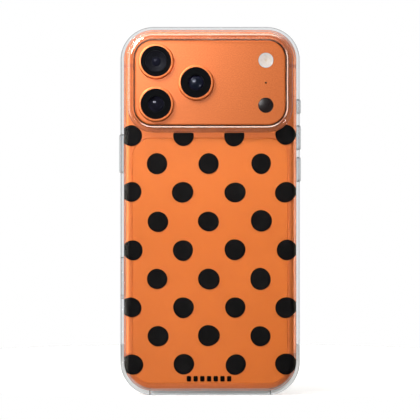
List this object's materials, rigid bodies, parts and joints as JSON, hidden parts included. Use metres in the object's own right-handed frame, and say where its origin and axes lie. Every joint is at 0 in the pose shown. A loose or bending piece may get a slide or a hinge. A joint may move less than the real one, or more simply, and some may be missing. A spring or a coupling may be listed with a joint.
{
  "type": "smartphone in a protective case",
  "caption": "Large orange smartphone with a raised rear camera plateau, held in a clear protective case printed with black dots.",
  "frame": {"origin": "on the surface that the phone stands on, under the middle of its bounding box", "axes": "+Z to the phone's top, -Y to its camera side, +Y to its display side, +X to the right as the camera side is looked at"},
  "size_m": [0.0828, 0.0148, 0.1673],
  "materials": {
    "orange_aluminium": "bead-blasted and anodised in bright orange, satin",
    "orange_glass": "orange back glass, fine matte",
    "orange_plastic": "orange filled resin, slightly darker than the metal",
    "clear_rigid": "clear hard plastic, gloss, printed with black dots",
    "clear_soft": "clear soft moulding, gloss",
    "display_glass": "black-backed glass, gloss",
    "lens_glass": "coated dark glass, gloss",
    "lens_black": "black, ribbed against stray light",
    "flash_diffuser": "cream diffuser with fine rings",
    "dark_steel": "dark plated steel",
    "steel": "stamped stainless steel",
    "copper": "bare copper",
    "magnet": "nickel plated magnets",
    "battery_wrap": "black foil wrap",
    "circuit_board": "green solder mask",
    "black_plastic": "black moulded plastic",
    "seal_rubber": "black adhesive gasket"
  },
  "bodies": {
    "phone": {"unibody_frame": "orange_aluminium", "ultrawide_lens_ring": "orange_aluminium", "wide_lens_ring": "orange_aluminium", "telephoto_lens_ring": "orange_aluminium", "back_glass": "orange_glass", "antenna_band_upper_left": "orange_plastic", "antenna_band_upper_right": "orange_plastic", "antenna_band_lower_left": "orange_plastic", "antenna_band_lower_right": "orange_plastic", "display_cover_glass": "display_glass", "depth_scanner_window": "display_glass", "ultrawide_cover_glass": "lens_glass", "wide_cover_glass": "lens_glass", "telephoto_cover_glass": "lens_glass", "front_camera_module": "lens_black", "flash_window": "flash_diffuser", "ultrawide_camera_module": "dark_steel", "wide_camera_module": "dark_steel", "telephoto_camera_module": "dark_steel", "side_button_switch": "dark_steel", "camera_control_switch": "dark_steel", "action_button_switch": "dark_steel", "volume_up_switch": "dark_steel", "volume_down_switch": "dark_steel", "depth_scanner": "dark_steel", "camera_bracket": "steel", "rear_microphone": "steel", "board_shield": "steel", "earpiece_speaker": "steel", "haptic_housing": "steel", "port_receptacle": "steel", "bottom_screw_left": "steel", "bottom_screw_right": "steel", "vapor_chamber": "copper", "charging_coil": "copper", "magnet_ring": "magnet", "magnet_bar": "magnet", "battery": "battery_wrap", "logic_board": "circuit_board", "flash_led": "circuit_board", "display_panel": "black_plastic", "loudspeaker": "black_plastic", "display_seal": "seal_rubber"},
    "case": {"case_back_panel": "clear_rigid", "case_bumper": "clear_soft"},
    "side_button": {"side_button": "orange_aluminium"},
    "camera_control": {"camera_control": "orange_aluminium"},
    "action_button": {"action_button": "orange_aluminium"},
    "volume_up": {"volume_up": "orange_aluminium"},
    "volume_down": {"volume_down": "orange_aluminium"},
    "side_button_cover": {"side_button_cover": "clear_soft"},
    "action_button_cover": {"action_button_cover": "clear_soft"},
    "volume_up_cover": {"volume_up_cover": "clear_soft"},
    "volume_down_cover": {"volume_down_cover": "clear_soft"},
    "ultrawide_lens_barrel": {"ultrawide_lens_barrel": "lens_black"},
    "wide_lens_barrel": {"wide_lens_barrel": "lens_black"},
    "telephoto_lens_barrel": {"telephoto_lens_barrel": "lens_black"},
    "haptic_weight": {"haptic_weight": "dark_steel"}
  },
  "joints": [
    {"name": "case_pull", "type": "slide", "parent": "phone", "child": "case", "axis": [0, -1, 0], "range_m": [0, 0.03]},
    {"name": "side_button_press", "type": "slide", "parent": "phone", "child": "side_button", "axis": [1, 0, 0], "range_m": [0, 0.00025], "stiffness_N_per_m": 4000, "springref_m": -0.0001},
    {"name": "camera_control_press", "type": "slide", "parent": "phone", "child": "camera_control", "axis": [1, 0, 0], "range_m": [0, 0.00025], "stiffness_N_per_m": 4000, "springref_m": -0.0001},
    {"name": "action_button_press", "type": "slide", "parent": "phone", "child": "action_button", "axis": [-1, 0, 0], "range_m": [0, 0.00025], "stiffness_N_per_m": 4000, "springref_m": -0.0001},
    {"name": "volume_up_press", "type": "slide", "parent": "phone", "child": "volume_up", "axis": [-1, 0, 0], "range_m": [0, 0.00025], "stiffness_N_per_m": 4000, "springref_m": -0.0001},
    {"name": "volume_down_press", "type": "slide", "parent": "phone", "child": "volume_down", "axis": [-1, 0, 0], "range_m": [0, 0.00025], "stiffness_N_per_m": 4000, "springref_m": -0.0001},
    {"name": "side_button_cover_press", "type": "slide", "parent": "case", "child": "side_button_cover", "axis": [1, 0, 0], "range_m": [0, 0.00025]},
    {"name": "action_button_cover_press", "type": "slide", "parent": "case", "child": "action_button_cover", "axis": [-1, 0, 0], "range_m": [0, 0.00025]},
    {"name": "volume_up_cover_press", "type": "slide", "parent": "case", "child": "volume_up_cover", "axis": [-1, 0, 0], "range_m": [0, 0.00025]},
    {"name": "volume_down_cover_press", "type": "slide", "parent": "case", "child": "volume_down_cover", "axis": [-1, 0, 0], "range_m": [0, 0.00025]},
    {"name": "ultrawide_focus", "type": "slide", "parent": "phone", "child": "ultrawide_lens_barrel", "axis": [0, -1, 0], "range_m": [0, 0.00025], "stiffness_N_per_m": 200},
    {"name": "wide_focus", "type": "slide", "parent": "phone", "child": "wide_lens_barrel", "axis": [0, -1, 0], "range_m": [0, 0.00025], "stiffness_N_per_m": 200},
    {"name": "telephoto_focus", "type": "slide", "parent": "phone", "child": "telephoto_lens_barrel", "axis": [0, -1, 0], "range_m": [0, 0.00025], "stiffness_N_per_m": 200},
    {"name": "haptic_slide", "type": "slide", "parent": "phone", "child": "haptic_weight", "axis": [1, 0, 0], "range_m": [-0.001, 0.001], "stiffness_N_per_m": 2500}
  ],
  "couplings": [
    {"joint": "side_button_cover_press", "follows": "side_button_press", "ratio": 1},
    {"joint": "action_button_cover_press", "follows": "action_button_press", "ratio": 1},
    {"joint": "volume_up_cover_press", "follows": "volume_up_press", "ratio": 1},
    {"joint": "volume_down_cover_press", "follows": "volume_down_press", "ratio": 1}
  ]
}
